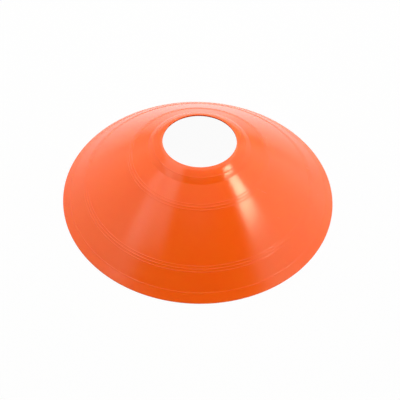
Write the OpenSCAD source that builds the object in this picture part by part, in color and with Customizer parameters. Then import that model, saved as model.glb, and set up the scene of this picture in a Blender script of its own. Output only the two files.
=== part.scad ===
// Disc marker cone for training grounds: one thin moulded shell with a hole at its top,
// a low rounded collar round the hole, and fine ribs in rings on the outer face.
// The origin is the centre of the circle that the rim stands on, and +Z is up.

/* [Shell] */
// Diameter across the rim
rim_d = 190; // [150:1:240]
// Height from the ground to the edge of the hole, before that edge is softened
height = 51.4; // [36:0.2:70]
// Thickness of the moulded wall
wall = 1.2; // [0.9:0.1:2]
// Height of the upright edge of the rim
rim_edge = 0.6; // [0.5:0.1:1]
// Radius that softens the outer edges of the rim
rim_round = 0.25; // [0.1:0.05:0.25]

/* [Hole and collar] */
// Diameter of the hole
hole_d = 49.2; // [30:0.2:70]
// Width of the rounded collar, from the hole to the foot of the collar
collar_w = 9.8; // [6:0.1:16]
// How far the collar falls over that width
collar_drop = 6.2; // [4:0.1:9]
// How far the collar's bend lies outside a straight line over it
collar_swell = 1; // [0.3:0.05:1.6]
// Where along the collar that bend lies, from the hole to the foot of the collar
collar_bend_share = 0.3; // [0.25:0.01:0.6]
// Radius of the hollow at the foot of the collar
foot_round = 1; // [0.5:0.1:4]
// Radius that softens the edges of the hole
lip_round = 0.25; // [0.1:0.05:0.35]

/* [Shoulder, skirt, hem and brim] */
// Width of the flatter shoulder, from the foot of the collar to the upper ribs
shoulder_w = 12.5; // [8:0.1:16]
// How far the shoulder falls over its width
shoulder_drop = 7.8; // [4:0.1:11]
// How far the skirt's bend lies outside a straight line from the shoulder to the hem
skirt_swell = 0.45; // [0.1:0.05:2]
// Width of the steeper hem, from the lower ribs to the brim
hem_w = 11.5; // [8:0.1:16]
// How far the hem falls over its width
hem_drop = 9.5; // [6:0.1:13]
// Width of the flatter brim at the rim
brim_w = 5.2; // [3:0.1:9]
// How far the brim falls over its width
brim_drop = 3.9; // [1.5:0.1:5]

/* [Ribs] */
// Radius of the round back of a rib
rib_r = 0.3; // [0.25:0.05:0.6]
// How far a rib stands out of the wall
rib_rise = 0.12; // [0.08:0.02:0.24]
// Distance between neighbouring ribs of a group
rib_pitch = 1.85; // [1.3:0.05:3]
// Ribs on each side of the middle one of a group
ribs_beside = 1; // [0:1:2]
// Place of the single rib on the collar, from the hole to the foot of the collar
collar_rib_share = 0.7; // [0.4:0.01:0.8]

/* [Hidden] */
$fn = 180;
orange = "#f4622a";

// Steps that follow the curves of the skirt and the collar, and steps round a softened corner
skirt_steps = 16;
collar_steps = 10;
corner_steps = 6;

// Corners of the outer face, from the hole out to the ground
hole_top = [hole_d / 2, height];
foot = hole_top + [collar_w, -collar_drop];
shoulder_edge = foot + [shoulder_w, -shoulder_drop];
rim_low = [rim_d / 2, 0];
rim_top = rim_low + [0, rim_edge];
brim_start = rim_top + [-brim_w, brim_drop];
hem_start = brim_start + [-hem_w, hem_drop];

// Points at which the curves of the collar and the skirt bend, outside their straight lines
collar_bend = hole_top + collar_bend_share * (foot - hole_top) + collar_swell * outward(hole_top, foot);
skirt_bend = (shoulder_edge + hem_start) / 2 + skirt_swell * outward(shoulder_edge, hem_start);

// Outward directions of the outer face between those corners
lip_out = outward(hole_top, collar_bend);
collar_out = outward(collar_bend, foot);
shoulder_out = outward(foot, shoulder_edge);
upper_skirt_out = outward(shoulder_edge, skirt_bend);
lower_skirt_out = outward(skirt_bend, hem_start);
hem_out = outward(hem_start, brim_start);
brim_out = outward(brim_start, rim_top);

// Corners of the inner face, one wall thickness inside
hole_low = hole_top - [0, wall / lip_out.y];
collar_bend_in = inset(collar_bend, lip_out, collar_out);
foot_in = inset(foot, collar_out, shoulder_out);
shoulder_edge_in = inset(shoulder_edge, shoulder_out, upper_skirt_out);
skirt_bend_in = inset(skirt_bend, upper_skirt_out, lower_skirt_out);
hem_start_in = inset(hem_start, lower_skirt_out, hem_out);
brim_start_in = inset(brim_start, hem_out, brim_out);
rim_in = rim_low - [(wall - rim_edge * brim_out.y) / brim_out.x, 0];

// Direction from a to b, the direction square to it that points out of the shell, and the way back
function along(a, b) = (b - a) / norm(b - a);
function outward(a, b) = let (d = along(a, b)) [-d.y, d.x];
function downhill(n) = [n.y, -n.x];

// Corner of the outer face moved in by one wall thickness from both of its sides
function inset(p, n, m) = p - wall * (n + m) / (1 + n * m);

// Point at share t of a curve from a to c that bends at b, and its outward direction there
function curve(a, b, c, t) = (1 - t) * (1 - t) * a + 2 * t * (1 - t) * b + t * t * c;
function curve_out(a, b, c, t) = outward((1 - t) * a + t * b, (1 - t) * b + t * c);

// Points of such a curve between its ends
function between(a, b, c, steps) = [for (i = [1 : steps - 1]) curve(a, b, c, i / steps)];

// Arc of radius r that softens the corner b between a and c
function corner(a, b, c, r) =
    let (
        u = along(b, a),
        v = along(b, c),
        half = acos(u * v) / 2,
        centre = b + r / sin(half) * along([0, 0], u + v),
        start = b + r / tan(half) * u - centre,
        end = b + r / tan(half) * v - centre,
        turn = sign(cross(start, end)) * (180 - 2 * half)
    )
    [for (i = [0 : corner_steps])
        let (angle = turn * i / corner_steps)
        centre + [
            start.x * cos(angle) - start.y * sin(angle),
            start.x * sin(angle) + start.y * cos(angle)
        ]];

// Section of the shell without its ribs: out along the inner face and back over the outer one
function outline() = concat(
    corner(hole_top, hole_low, collar_bend_in, lip_round),
    between(hole_low, collar_bend_in, foot_in, collar_steps),
    corner(collar_bend_in, foot_in, shoulder_edge_in, foot_round + wall),
    [shoulder_edge_in],
    between(shoulder_edge_in, skirt_bend_in, hem_start_in, skirt_steps),
    [hem_start_in, brim_start_in, rim_in],
    corner(rim_in, rim_low, rim_top, rim_round),
    corner(rim_low, rim_top, brim_start, rim_round),
    [brim_start, hem_start],
    between(hem_start, skirt_bend, shoulder_edge, skirt_steps),
    [shoulder_edge],
    corner(shoulder_edge, foot, collar_bend, foot_round),
    between(foot, collar_bend, hole_top, collar_steps),
    corner(collar_bend, hole_top, hole_low, lip_round)
);

// Round back of one rib, on the wall at p where n points out
module rib(p, n) {
    translate(p + (rib_rise - rib_r) * n)
        circle(r = rib_r);
}

// Rib on the corner p, where the wall turns from facing n to facing m
module corner_rib(p, n, m) {
    rib(p, along([0, 0], n + m));
}

// Such a rib with others beside it on both sides of the corner
module rib_group(p, n, m) {
    corner_rib(p, n, m);
    for (i = [1 : 1 : ribs_beside]) {
        rib(p - i * rib_pitch * downhill(n), n);
        rib(p + i * rib_pitch * downhill(m), m);
    }
}

module disc_cone() {
    color(orange)
    rotate_extrude()
    union() {
        polygon(outline());
        rib(
            curve(hole_top, collar_bend, foot, collar_rib_share),
            curve_out(hole_top, collar_bend, foot, collar_rib_share)
        );
        rib_group(shoulder_edge, shoulder_out, upper_skirt_out);
        rib_group(hem_start, lower_skirt_out, hem_out);
        corner_rib(brim_start, hem_out, brim_out);
    }
}

disc_cone();
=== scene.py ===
# Disc marker cone for training grounds: one thin glossy shell, standing on a pale floor.
import math

import bpy
from mathutils import Matrix, Vector


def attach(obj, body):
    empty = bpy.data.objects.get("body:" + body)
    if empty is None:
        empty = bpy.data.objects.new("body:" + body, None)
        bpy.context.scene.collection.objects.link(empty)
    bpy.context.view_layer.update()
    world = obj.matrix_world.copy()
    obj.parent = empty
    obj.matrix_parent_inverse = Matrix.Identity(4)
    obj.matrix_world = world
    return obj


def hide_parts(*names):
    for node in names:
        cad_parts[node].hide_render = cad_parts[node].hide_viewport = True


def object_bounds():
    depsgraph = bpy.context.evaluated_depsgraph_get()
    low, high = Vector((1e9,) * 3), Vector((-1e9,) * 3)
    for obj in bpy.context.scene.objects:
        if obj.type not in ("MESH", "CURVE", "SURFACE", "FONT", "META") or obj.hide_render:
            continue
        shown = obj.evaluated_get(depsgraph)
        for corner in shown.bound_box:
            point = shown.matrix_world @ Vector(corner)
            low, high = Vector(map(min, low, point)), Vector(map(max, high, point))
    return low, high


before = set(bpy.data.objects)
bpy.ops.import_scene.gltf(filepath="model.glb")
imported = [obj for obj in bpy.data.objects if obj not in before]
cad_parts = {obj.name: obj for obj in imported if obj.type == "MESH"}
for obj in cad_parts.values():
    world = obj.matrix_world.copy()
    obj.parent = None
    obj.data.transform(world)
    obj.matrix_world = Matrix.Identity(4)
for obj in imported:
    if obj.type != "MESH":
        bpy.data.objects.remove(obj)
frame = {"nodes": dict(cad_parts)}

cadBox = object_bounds()                 # the CAD model's box, before anything is dressed
print("frame loaded:", ", ".join(frame["nodes"]))

mm = 0.001


class Wire:
    # A socket of a node tree. Sums on it are written as plain Python and add Math nodes.
    def __init__(self, tree, socket=None):
        self.tree = tree
        self.socket = socket

    def node(self, kind, settings=None, values=None, output=0):
        made = self.tree.nodes.new(kind)
        for name, setting in (settings or {}).items():
            if name == "stops":
                fillRamp(made.color_ramp, setting)
            else:
                setattr(made, name, setting)
        for name, value in (values or {}).items():
            if isinstance(value, Wire):
                self.tree.links.new(value.socket, made.inputs[name])
            else:
                made.inputs[name].default_value = value
        return Wire(self.tree, made.outputs[output]) if len(made.outputs) else Wire(self.tree)

    def also(self, output):          # another output of the same node
        return Wire(self.tree, self.socket.node.outputs[output])

    def maths(self, operation, *values):
        return self.node("ShaderNodeMath", {"operation": operation}, dict(enumerate(values)))

    def __add__(self, other):
        return self.maths("ADD", self, other)

    def __sub__(self, other):
        return self.maths("SUBTRACT", self, other)

    def __rsub__(self, other):
        return self.maths("SUBTRACT", other, self)

    def __mul__(self, other):
        return self.maths("MULTIPLY", self, other)

    def __truediv__(self, other):
        return self.maths("DIVIDE", self, other)

    def __rtruediv__(self, other):
        return self.maths("DIVIDE", other, self)

    def __neg__(self):
        return self.maths("MULTIPLY", self, -1)

    __radd__ = __add__
    __rmul__ = __mul__

    def smooth(self, start, end, low=0.0, high=1.0):   # eased step from low to high
        return self.node(
            "ShaderNodeMapRange",
            {"interpolation_type": "SMOOTHSTEP"},
            {"Value": self, "From Min": start, "From Max": end, "To Min": low, "To Max": high},
        )

    def noise(self, size, detail=2.0, roughness=0.5, seed=0.0):   # size of the pattern in metres
        return self.node(
            "ShaderNodeTexNoise",
            {"noise_dimensions": "4D"},
            {"Vector": self, "W": seed, "Scale": 1 / size, "Detail": detail, "Roughness": roughness},
        )


def fillRamp(ramp, stops):
    while len(ramp.elements) > 1:
        ramp.elements.remove(ramp.elements[-1])
    ramp.elements[0].position, ramp.elements[0].color = stops[0]
    for position, colour in stops[1:]:
        ramp.elements.new(position).color = colour


def emptyTree(tree):
    tree.nodes.clear()
    return Wire(tree)


# Camera

viewpoint = {
    "elevation": 48.02,              # degrees above the floor
    "distance": 0.5675,              # metres from the middle of the rim
    "lens": 72.0,                    # millimetres, as is the sensor's width
    "sensor": 36.0,
    "pan": -0.148,                   # degrees, to set the cone where the photograph has it
    "tilt": -0.566,
    "roll": 1.68,
}


def placeCamera():
    camera = bpy.data.objects.new("camera", bpy.data.cameras.new("camera"))
    camera.data.sensor_width = viewpoint["sensor"]
    camera.data.lens = viewpoint["lens"]
    elevation = math.radians(viewpoint["elevation"])
    distance = viewpoint["distance"]
    turn = Matrix.Rotation(math.pi / 2 - elevation, 4, "X")
    for name, axis in (("pan", "Y"), ("tilt", "X"), ("roll", "Z")):
        turn = turn @ Matrix.Rotation(math.radians(viewpoint[name]), 4, axis)
    place = Vector((0, -distance * math.cos(elevation), distance * math.sin(elevation)))
    camera.matrix_world = Matrix.Translation(place) @ turn
    bpy.context.scene.collection.objects.link(camera)
    bpy.context.scene.camera = camera


placeCamera()
bpy.context.scene.view_settings.view_transform = "Standard"
print("camera placed")


# The section of the shell, in millimetres: x is the distance from the axis, y the height

shell = {
    "wall": 1.2,
    "holeWidth": 49.2,
    "height": 51.4,                  # of the edge of the hole, before it is softened
    "lipRound": 0.25,
    "collar": (9.8, 6.2),            # width and drop of each part of the outer face
    "collarSwell": 1.0,
    "collarBend": 0.3,
    "footRound": 1.0,
    "shoulder": (12.5, 7.8),
    "skirtSwell": 0.45,
    "hem": (11.5, 9.5),
    "brim": (5.2, 3.9),
    "rimWidth": 190,
    "rimEdge": 0.6,
    "rimRound": 0.25,
    "ribRise": 0.1,
    "ribReach": 0.31,                # from the middle of a rib to where it has run out
    "ribPitch": 1.85,
    "ribsBeside": 1,
    "collarRib": 0.7,
    "wideStep": 1.1,                 # between points of the section, away from the ribs
    "innerStep": 2.2,
    "ribStep": 0.055,
    "cornerSteps": 6,
    "segments": 256,
    "unevenness": 0.05,              # how far the moulded wall strays from a true one
    "unevenSize": 34,
    "unevenDetail": 1.0,
    "calmWidth": 7,                  # at the hole and the rim, where it strays less
    "calmCore": 0.3,                 # share of that width where it doesn't stray at all
    "seed": 4.0,
}


def towards(a, b):
    return (b - a).normalized()


def outward(a, b):
    step = towards(a, b)
    return Vector((-step.y, step.x))


def inset(corner, before, after):
    return corner - shell["wall"] * (before + after) / (1 + before.dot(after))


def middle(a, b):
    return a.lerp(b, 0.5)


def bentLine(a, b, c, t):
    return (1 - t) ** 2 * a + 2 * t * (1 - t) * b + t * t * c


def softCorner(a, b, c, radius):
    before = towards(b, a)
    after = towards(b, c)
    half = before.angle(after) / 2
    centre = b + radius / math.sin(half) * (before + after).normalized()
    start = b + radius / math.tan(half) * before - centre
    end = b + radius / math.tan(half) * after - centre
    turn = math.copysign(math.pi - 2 * half, start.cross(end))
    steps = shell["cornerSteps"]
    return [centre + Matrix.Rotation(turn * i / steps, 2) @ start for i in range(steps + 1)]


def pointsAlong(a, b, c, step, ribs=()):
    # from a to c round the bend b, close together near a rib, without the last point
    shares = [0.0]
    while shares[-1] < 1:
        here = bentLine(a, b, c, shares[-1])
        speed = 2 * (b - a).lerp(c - b, shares[-1]).length      # millimetres for a whole share
        away = min([(here - rib).length for rib in ribs] + [speed])
        stride = max(shell["ribStep"], min(step, away - shell["ribReach"]))
        shares.append(shares[-1] + stride / speed)
    return [bentLine(a, b, c, share / shares[-1]) for share in shares[:-1]]


def drawSection():
    holeTop = Vector((shell["holeWidth"] / 2, shell["height"]))
    foot = holeTop + Vector((shell["collar"][0], -shell["collar"][1]))
    shoulderEdge = foot + Vector((shell["shoulder"][0], -shell["shoulder"][1]))
    rimLow = Vector((shell["rimWidth"] / 2, 0))
    rimTop = rimLow + Vector((0, shell["rimEdge"]))
    brimStart = rimTop + Vector((-shell["brim"][0], shell["brim"][1]))
    hemStart = brimStart + Vector((-shell["hem"][0], shell["hem"][1]))
    collarBend = holeTop.lerp(foot, shell["collarBend"]) + shell["collarSwell"] * outward(holeTop, foot)
    skirtBend = (shoulderEdge + hemStart) / 2 + shell["skirtSwell"] * outward(shoulderEdge, hemStart)

    outer = [holeTop, collarBend, foot, shoulderEdge, skirtBend, hemStart, brimStart, rimTop]
    facing = [outward(a, b) for a, b in zip(outer, outer[1:])]
    inner = [inset(corner, *facing[i:i + 2]) for i, corner in enumerate(outer[1:-1])]
    collarIn, footIn, shoulderIn, skirtIn, hemIn, brimIn = inner
    holeLow = holeTop - Vector((0, shell["wall"] / facing[0].y))
    rimIn = rimLow - Vector(((shell["wall"] - shell["rimEdge"] * facing[-1].y) / facing[-1].x, 0))

    ribs = [bentLine(holeTop, collarBend, foot, shell["collarRib"]), brimStart]
    for corner, above, below in ((shoulderEdge, foot, skirtBend), (hemStart, skirtBend, brimStart)):
        ribs.append(corner)
        for i in range(1, shell["ribsBeside"] + 1):
            ribs.append(corner + i * shell["ribPitch"] * towards(corner, above))
            ribs.append(corner + i * shell["ribPitch"] * towards(corner, below))

    wide = shell["wideStep"]
    thin = shell["innerStep"]
    outline = softCorner(holeTop, holeLow, collarIn, shell["lipRound"])
    outline += pointsAlong(outline[-1], collarIn, footIn, thin)[1:]
    outline += softCorner(collarIn, footIn, shoulderIn, shell["footRound"] + shell["wall"])
    outline += pointsAlong(outline[-1], middle(footIn, shoulderIn), shoulderIn, thin)[1:]
    outline += pointsAlong(shoulderIn, skirtIn, hemIn, thin)
    outline += pointsAlong(hemIn, middle(hemIn, brimIn), brimIn, thin)
    outline += pointsAlong(brimIn, middle(brimIn, rimIn), rimIn, thin) + [rimIn]
    outline += softCorner(rimIn, rimLow, rimTop, shell["rimRound"])
    outline += softCorner(rimLow, rimTop, brimStart, shell["rimRound"])
    outline += pointsAlong(outline[-1], middle(rimTop, brimStart), brimStart, wide, ribs)[1:]
    outline += pointsAlong(brimStart, middle(brimStart, hemStart), hemStart, wide, ribs)
    outline += pointsAlong(hemStart, skirtBend, shoulderEdge, wide, ribs)
    softFoot = softCorner(shoulderEdge, foot, collarBend, shell["footRound"])
    outline += pointsAlong(shoulderEdge, middle(shoulderEdge, foot), softFoot[0], wide, ribs)
    outline += softFoot[:-1]
    softLip = softCorner(collarBend, holeTop, holeLow, shell["lipRound"])
    outline += pointsAlong(softFoot[-1], collarBend, softLip[0], wide, ribs)
    outline += softLip
    return outline, ribs


def sectionObject():
    outline, ribs = drawSection()
    low, high = cadBox
    reach = min(-low.x, -low.y, high.x, high.y) / max(point.x for point in outline)
    rise = high.z / max(point.y for point in outline)      # the frame decides both sizes
    spots = [(point.x * reach, 0, point.y * rise) for point in outline + ribs]
    count = len(outline)
    mesh = bpy.data.meshes.new("section")
    mesh.from_pydata(spots, [(i, (i + 1) % count) for i in range(count)], [])
    facing = mesh.attributes.new("facing", "FLOAT_VECTOR", "POINT")
    for i in range(count):
        step = towards(outline[i - 1], outline[(i + 1) % count])
        facing.data[i].vector = (step.y, 0, -step.x)
    isRib = mesh.attributes.new("isRib", "BOOLEAN", "POINT")
    for i in range(count, len(spots)):
        isRib.data[i].value = True
    print("section drawn:", count, "points,", len(ribs), "ribs")
    made = bpy.data.objects.new("section", mesh)
    bpy.context.scene.collection.objects.link(made)
    return made


# Geometry nodes: raise the ribs on the section, turn it round the axis, let the wall stray a little

turnedInputs = (
    ("Section", "NodeSocketGeometry"),
    ("Segments", "NodeSocketInt"),
    ("Rib Reach", "NodeSocketFloat"),
    ("Rib Rise", "NodeSocketFloat"),
    ("Hole Radius", "NodeSocketFloat"),
    ("Rim Radius", "NodeSocketFloat"),
    ("Calm Width", "NodeSocketFloat"),
    ("Unevenness", "NodeSocketFloat"),
    ("Uneven Size", "NodeSocketFloat"),
    ("Seed", "NodeSocketFloat"),
    ("Finish", "NodeSocketMaterial"),
)


def turnedTree():
    tree = bpy.data.node_groups.new("turnedShell", "GeometryNodeTree")
    for name, kind in turnedInputs:
        tree.interface.new_socket(name=name, in_out="INPUT", socket_type=kind)
    tree.interface.new_socket(name="Shell", in_out="OUTPUT", socket_type="NodeSocketGeometry")
    given = emptyTree(tree).node("NodeGroupInput")

    isRib = given.node("GeometryNodeInputNamedAttribute", {"data_type": "BOOLEAN"}, {"Name": "isRib"})
    ribs = given.node("GeometryNodeSeparateGeometry", {}, {"Geometry": given, "Selection": isRib})
    away = given.node("GeometryNodeProximity", {"target_element": "POINTS"}, {0: ribs}, "Distance")
    lift = away.smooth(0.0, given.also("Rib Reach"), given.also("Rib Rise"), 0.0)
    facing = given.node(
        "GeometryNodeInputNamedAttribute", {"data_type": "FLOAT_VECTOR"}, {"Name": "facing"}
    )
    push = given.node("ShaderNodeVectorMath", {"operation": "SCALE"}, {0: facing, "Scale": lift})
    ribbed = given.node("GeometryNodeSetPosition", {}, {"Geometry": ribs.also("Inverted"), "Offset": push})

    # laid flat for the sweep: across the path is x, down is y
    place = given.node("ShaderNodeSeparateXYZ", {}, {0: given.node("GeometryNodeInputPosition")})
    across = place - given.also("Rim Radius")
    flat = given.node("ShaderNodeCombineXYZ", {}, {"X": across, "Y": -place.also("Z")})
    profile = given.node("GeometryNodeSetPosition", {}, {"Geometry": ribbed, "Position": flat})
    profile = given.node("GeometryNodeMeshToCurve", {}, {"Mesh": profile})
    path = given.node(
        "GeometryNodeCurvePrimitiveCircle",
        {},
        {"Resolution": given.also("Segments"), "Radius": given.also("Rim Radius")},
    )
    path = given.node("GeometryNodeSetCurveNormal", {"mode": "Z_UP"}, {"Curve": path})
    turned = given.node("GeometryNodeCurveToMesh", {}, {"Curve": path, "Profile Curve": profile})

    # both faces of the wall stray together, and not at all at the hole and the rim
    where = given.node("GeometryNodeInputPosition")
    side = given.node("ShaderNodeVectorMath", {"operation": "MULTIPLY"}, {0: where, 1: (1, 1, 0)})
    radius = given.node("ShaderNodeVectorMath", {"operation": "LENGTH"}, {0: side}, "Value")
    calm = given.also("Calm Width")
    core = calm * shell["calmCore"]
    free = (radius - given.also("Hole Radius")).smooth(core, calm)
    free = free * (given.also("Rim Radius") - radius).smooth(core, calm)
    scale = 1 / given.also("Uneven Size")
    waves = given.node(
        "ShaderNodeTexNoise",
        {"noise_dimensions": "4D"},
        {"Vector": where, "W": given.also("Seed"), "Scale": scale, "Detail": shell["unevenDetail"]},
    )
    stray = (waves - 0.5) * 2 * given.also("Unevenness") * free      # the waves run from 0 to 1
    offset = given.node("ShaderNodeCombineXYZ", {}, {"Z": stray})
    strayed = given.node("GeometryNodeSetPosition", {}, {"Geometry": turned, "Offset": offset})
    smooth = given.node("GeometryNodeSetShadeSmooth", {}, {"Geometry": strayed})
    whole = given.node("GeometryNodeRealizeInstances", {}, {"Geometry": smooth})
    done = given.node(
        "GeometryNodeSetMaterial", {}, {"Geometry": whole, "Material": given.also("Finish")}
    )
    given.node("NodeGroupOutput", {}, {"Shell": done})
    return tree


def plainMesh(source, tree, inputs, name):
    # runs the tree on the source and keeps what it makes as a plain mesh at the origin
    modifier = source.modifiers.new(tree.name, "NODES")
    modifier.node_group = tree
    for socket in tree.interface.items_tree:
        if socket.name in inputs:
            modifier[socket.identifier] = inputs[socket.name]
    seen = source.evaluated_get(bpy.context.evaluated_depsgraph_get())
    mesh = bpy.data.meshes.new_from_object(seen)
    mesh.name = name
    source.modifiers.remove(modifier)
    bpy.data.objects.remove(source)
    made = bpy.data.objects.new(name, mesh)
    bpy.context.scene.collection.objects.link(made)
    return made


# The finish: glossy orange polyethylene, coloured right through

finish = {
    "tones": (                       # the colour at three levels of the patterns together
        (0.36, (0.94, 0.103, 0.001)),
        (0.50, (0.95, 0.109, 0.002)),
        (0.66, (0.96, 0.115, 0.003)),
    ),
    "toneShares": (0.7, 0.2, 0.1),   # of the clouds, the grain and the flow
    "roughness": 0.15,
    "ior": 1.5,
    "glowThrough": 0.35,             # light that comes through the thin soft wall
    "glowReach": (2.0, 0.5, 0.1),    # millimetres, for red, green and blue
    "cloud": {"size": 38 * mm, "detail": 3.0, "roughness": 0.55, "seed": 2.0},
    "grain": {"size": 2.4 * mm, "detail": 2.0, "roughness": 0.5, "seed": 7.0},
    "skin": {"size": 0.9 * mm, "detail": 3.0, "roughness": 0.6, "seed": 3.0},
    "flow": {"size": 1 / 9, "detail": 3.0, "roughness": 0.6, "seed": 5.0},    # as a share of the radius
    "scuff": {"size": 1.0, "detail": 4.0, "roughness": 0.6},                 # before it is stretched
    "cloudGloss": 0.05,              # how far each pattern changes the roughness
    "flowGloss": 0.02,
    "scuffGloss": 0.16,
    "scuffSize": (26, 1.1, 26),      # length, width and depth of the scuffs' pattern, in millimetres
    "scuffWays": ((11.0, 0.5), (13.0, 2.1)),    # seed and turn, in radians, of each direction
    "scuffEdge": (0.66, 0.74),
    "skinDepth": 0.03,               # millimetres
    "skinBump": 0.06,
    "flowBump": 0.4,                 # height of the flow against that of the skin
    "rimWear": 4,                    # width of the duller strip at the rim
    "rimGloss": 0.06,
}


def scuffsAlong(place, seed, turn):
    # scuffs from turf and stacking, all in one direction
    laid = place.node(
        "ShaderNodeMapping",
        {},
        {
            "Vector": place,
            "Rotation": (0.0, 0.0, turn),
            "Scale": tuple(1 / (size * mm) for size in finish["scuffSize"]),
        },
    )
    return laid.noise(**finish["scuff"], seed=seed).smooth(*finish["scuffEdge"])


def orangeFinish():
    material = bpy.data.materials.new("orangeShell")
    material.use_nodes = True
    start = emptyTree(material.node_tree)
    place = start.node("ShaderNodeTexCoord", output="Object")
    cloud = place.noise(**finish["cloud"])
    grain = place.noise(**finish["grain"])

    # the plastic ran from the hole outwards, so its flow follows the direction from the axis
    side = start.node("ShaderNodeVectorMath", {"operation": "MULTIPLY"}, {0: place, 1: (1, 1, 0)})
    radius = start.node("ShaderNodeVectorMath", {"operation": "LENGTH"}, {0: side}, "Value")
    way = start.node("ShaderNodeVectorMath", {"operation": "NORMALIZE"}, {0: side})
    flow = way.noise(**finish["flow"])

    first, second = (scuffsAlong(place, seed, turn) for seed, turn in finish["scuffWays"])
    scuffs = first + second
    rim = cadBox[1].x
    worn = radius.smooth(rim - finish["rimWear"] * mm, rim)

    cloudShare, grainShare, flowShare = finish["toneShares"]
    tone = cloud * cloudShare + grain * grainShare + flow * flowShare
    stops = [(level, (*colour, 1)) for level, colour in finish["tones"]]
    colour = tone.node("ShaderNodeValToRGB", {"stops": stops}, {0: tone})
    gloss = finish["roughness"] + (cloud - 0.5) * finish["cloudGloss"] + (flow - 0.5) * finish["flowGloss"]
    gloss = gloss + scuffs * finish["scuffGloss"] + worn * finish["rimGloss"]
    skin = place.noise(**finish["skin"]) + flow * finish["flowBump"]
    bump = start.node(
        "ShaderNodeBump",
        {},
        {"Strength": finish["skinBump"], "Distance": finish["skinDepth"] * mm, "Height": skin},
    )
    surface = start.node(
        "ShaderNodeBsdfPrincipled",
        {},
        {
            "Base Color": colour,
            "Roughness": gloss,
            "IOR": finish["ior"],
            "Subsurface Weight": finish["glowThrough"],
            "Subsurface Radius": finish["glowReach"],
            "Subsurface Scale": mm,
            "Normal": bump,
        },
    )
    start.node("ShaderNodeOutputMaterial", {}, {"Surface": surface})
    return material


cone = plainMesh(
    sectionObject(),
    turnedTree(),
    {
        "Segments": shell["segments"],
        "Rib Reach": shell["ribReach"] * mm,
        "Rib Rise": shell["ribRise"] * mm,
        "Hole Radius": shell["holeWidth"] / 2 * mm,
        "Rim Radius": cadBox[1].x,
        "Calm Width": shell["calmWidth"] * mm,
        "Unevenness": shell["unevenness"] * mm,
        "Uneven Size": shell["unevenSize"] * mm,
        "Seed": shell["seed"],
        "Finish": orangeFinish(),
    },
    "discCone",
)
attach(cone, "root")
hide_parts("disc_cone")
print("shell turned:", len(cone.data.polygons), "faces")


# The studio: a pale floor in a room that is bright at its sides and dark behind the camera,
# with a lamp and soft boxes overhead

# places and sizes of the boxes are tangents of the angle from straight up
streakBox = {
    "middle": (0.890, -0.112),       # to the right and to the rear
    "width": 0.326,
    "length": 0.34,
    "turn": 45,                      # degrees, from to the right towards the rear
    "spread": 1.45,                  # how much it widens towards its front end
    "edge": 0.045,
    "tail": (0.065, 0.13),           # a softer edge at its front end, inwards and outwards
    "light": 15.5,
    "colour": (1.0, 0.97, 0.64),
}
leftBox = {
    "middle": (-0.73, -0.14),
    "width": 0.72,
    "length": 0.80,
    "turn": -19,
    "spread": 0.0,
    "edge": 0.08,
    "tail": (0.08, 0.16),
    "light": 1.3,
    "colour": (1.0, 0.98, 0.95),
}
leftCore = {**leftBox, "middle": (-0.60, -0.20), "width": 0.26, "length": 0.36, "light": 0.5}

studio = {
    "floorSize": 8.0,                # metres
    "floorDrop": 0.02 * mm,          # below the rim, so that the two don't flicker
    "floorColour": (0.62, 0.62, 0.62),
    "floorGlow": 0.96,               # share of plain white that the camera sees in the floor
    "floorGleam": 0.70,              # and that the cone mirrors
    "rimShade": (0.05, 14 * mm),     # the share of that left at the rim, a painted contact shadow on the floor as the cone mirrors it, and how far that painted shade reaches
    "front": 0.08,                   # levels of the room, where 1 is white
    "rear": 1.1,
    "rearEdge": (-0.05, 0.05),       # where the front turns into the rear
    "rearFoot": 0.56,                # the rear, low down
    "footEdge": (0.30, 0.40),
    "ceiling": 0.55,
    "ceilingEdge": (0.80, 0.90),
    "leftGlow": 0.97,                # the bright sides of the room
    "rightGlow": 1.25,
    "glowEdge": (0.54, 0.72),        # from dark to bright, as a share of straight to the side
    "sideBlend": (-0.3, 0.3),        # from the left glow to the right one
    "horizon": (0.02, 0.10),         # the soft boxes end just above it
    "overhead": (0.0, 0.228, 0.35),  # middle of the lamp, in metres
    "overheadSize": (0.61, 0.62),
    "overheadLight": 0.85,
    "boxes": (streakBox, leftBox, leftCore),
}


def hangLamp():
    lamp = bpy.data.lights.new("overhead", "AREA")
    lamp.shape = "ELLIPSE"
    lamp.size, lamp.size_y = studio["overheadSize"]
    lamp.energy = math.pi * lamp.size * lamp.size_y * studio["overheadLight"]
    holder = bpy.data.objects.new("overhead", lamp)
    holder.location = studio["overhead"]
    holder.visible_camera = False
    bpy.context.scene.collection.objects.link(holder)


def softBox(sky, box):
    # the light of a soft-edged box overhead, for rays that go the way of sky
    right, rear = box["middle"]
    x = sky / sky.also("Z") - right
    y = sky.also("Y") / sky.also("Z") - rear
    c = math.cos(math.radians(box["turn"]))
    s = math.sin(math.radians(box["turn"]))
    forward = x * s - y * c
    across = sky.maths("ABSOLUTE", (x * c + y * s) / (1 + forward * box["spread"]))
    wide = box["width"] / 2
    long = box["length"] / 2
    edge = box["edge"]
    inside = across.smooth(wide - edge, wide + edge, 1.0, 0.0)
    inside = inside * forward.smooth(-long - edge, -long + edge)
    inwards, outwards = box["tail"]
    inside = inside * forward.smooth(long - inwards, long + outwards, 1.0, 0.0)
    inside = inside * sky.also("Z").smooth(*studio["horizon"], 0.0, box["light"])
    return sky.node("ShaderNodeVectorMath", {"operation": "SCALE"}, {0: box["colour"], "Scale": inside})


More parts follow.
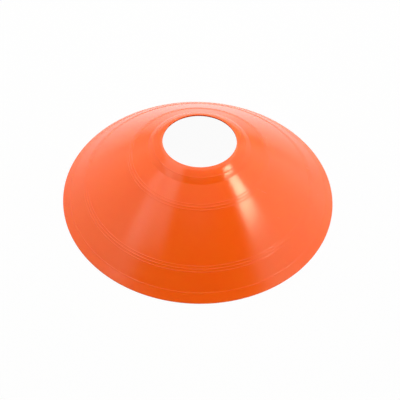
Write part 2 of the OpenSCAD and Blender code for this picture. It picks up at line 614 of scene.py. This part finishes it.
def layFloor():
    half = studio["floorSize"] / 2
    mesh = bpy.data.meshes.new("floor")
    under = -studio["floorDrop"]
    corners = [(-half, -half, under), (half, -half, under), (half, half, under), (-half, half, under)]
    mesh.from_pydata(corners, [], [(0, 1, 2, 3)])
    floor = bpy.data.objects.new("floor", mesh)
    bpy.context.scene.collection.objects.link(floor)
    material = bpy.data.materials.new("paleFloor")
    material.use_nodes = True
    start = emptyTree(material.node_tree)
    matt = start.node("ShaderNodeBsdfDiffuse", {}, {"Color": (*studio["floorColour"], 1)})
    white = start.node("ShaderNodeEmission", {}, {"Strength": 1.0})
    ray = start.node("ShaderNodeLightPath", output="Is Camera Ray")
    place = start.node("ShaderNodeTexCoord", output="Object")
    radius = start.node("ShaderNodeVectorMath", {"operation": "LENGTH"}, {0: place}, "Value")
    rim = cadBox[1].x
    shade, reach = studio["rimShade"]
    # painted shade: the white that the cone mirrors in the floor is made darker near the rim, as a painted
    # contact shadow
    gleam = radius.smooth(rim, rim + reach, shade * studio["floorGleam"], studio["floorGleam"])
    share = ray * studio["floorGlow"] + ray.also("Is Glossy Ray") * gleam
    mixed = start.node("ShaderNodeMixShader", {}, {0: share, 1: matt, 2: white})
    start.node("ShaderNodeOutputMaterial", {}, {"Surface": mixed})
    mesh.materials.append(material)


def lightWorld():
    world = bpy.data.worlds.new("studio")
    bpy.context.scene.world = world
    world.use_nodes = True
    start = emptyTree(world.node_tree)
    sky = start.node("ShaderNodeTexCoord", output="Generated")
    parts = start.node("ShaderNodeSeparateXYZ", {}, {0: sky})
    sides = parts.smooth(*studio["sideBlend"], studio["leftGlow"], studio["rightGlow"])
    rear = parts.also("Z").smooth(*studio["footEdge"], studio["rearFoot"], studio["rear"])
    rest = studio["front"] + parts.also("Y").smooth(*studio["rearEdge"]) * (rear - studio["front"])
    rest = rest + parts.also("Z").smooth(*studio["ceilingEdge"]) * (studio["ceiling"] - rest)
    level = rest + parts.maths("ABSOLUTE", parts).smooth(*studio["glowEdge"]) * (sides - rest)
    light = start.node("ShaderNodeVectorMath", {"operation": "SCALE"}, {0: (1, 1, 1), "Scale": level})
    for box in studio["boxes"]:
        light = start.node("ShaderNodeVectorMath", {"operation": "ADD"}, {0: light, 1: softBox(parts, box)})
    room = start.node("ShaderNodeBackground", {}, {"Color": light})
    white = start.node("ShaderNodeBackground", {}, {"Color": (1, 1, 1, 1)})
    camera = start.node("ShaderNodeLightPath", output="Is Camera Ray")
    shown = start.node("ShaderNodeMixShader", {}, {0: camera, 1: room, 2: white})
    start.node("ShaderNodeOutputWorld", {}, {"Surface": shown})


layFloor()
lightWorld()
hangLamp()
print("studio lit")
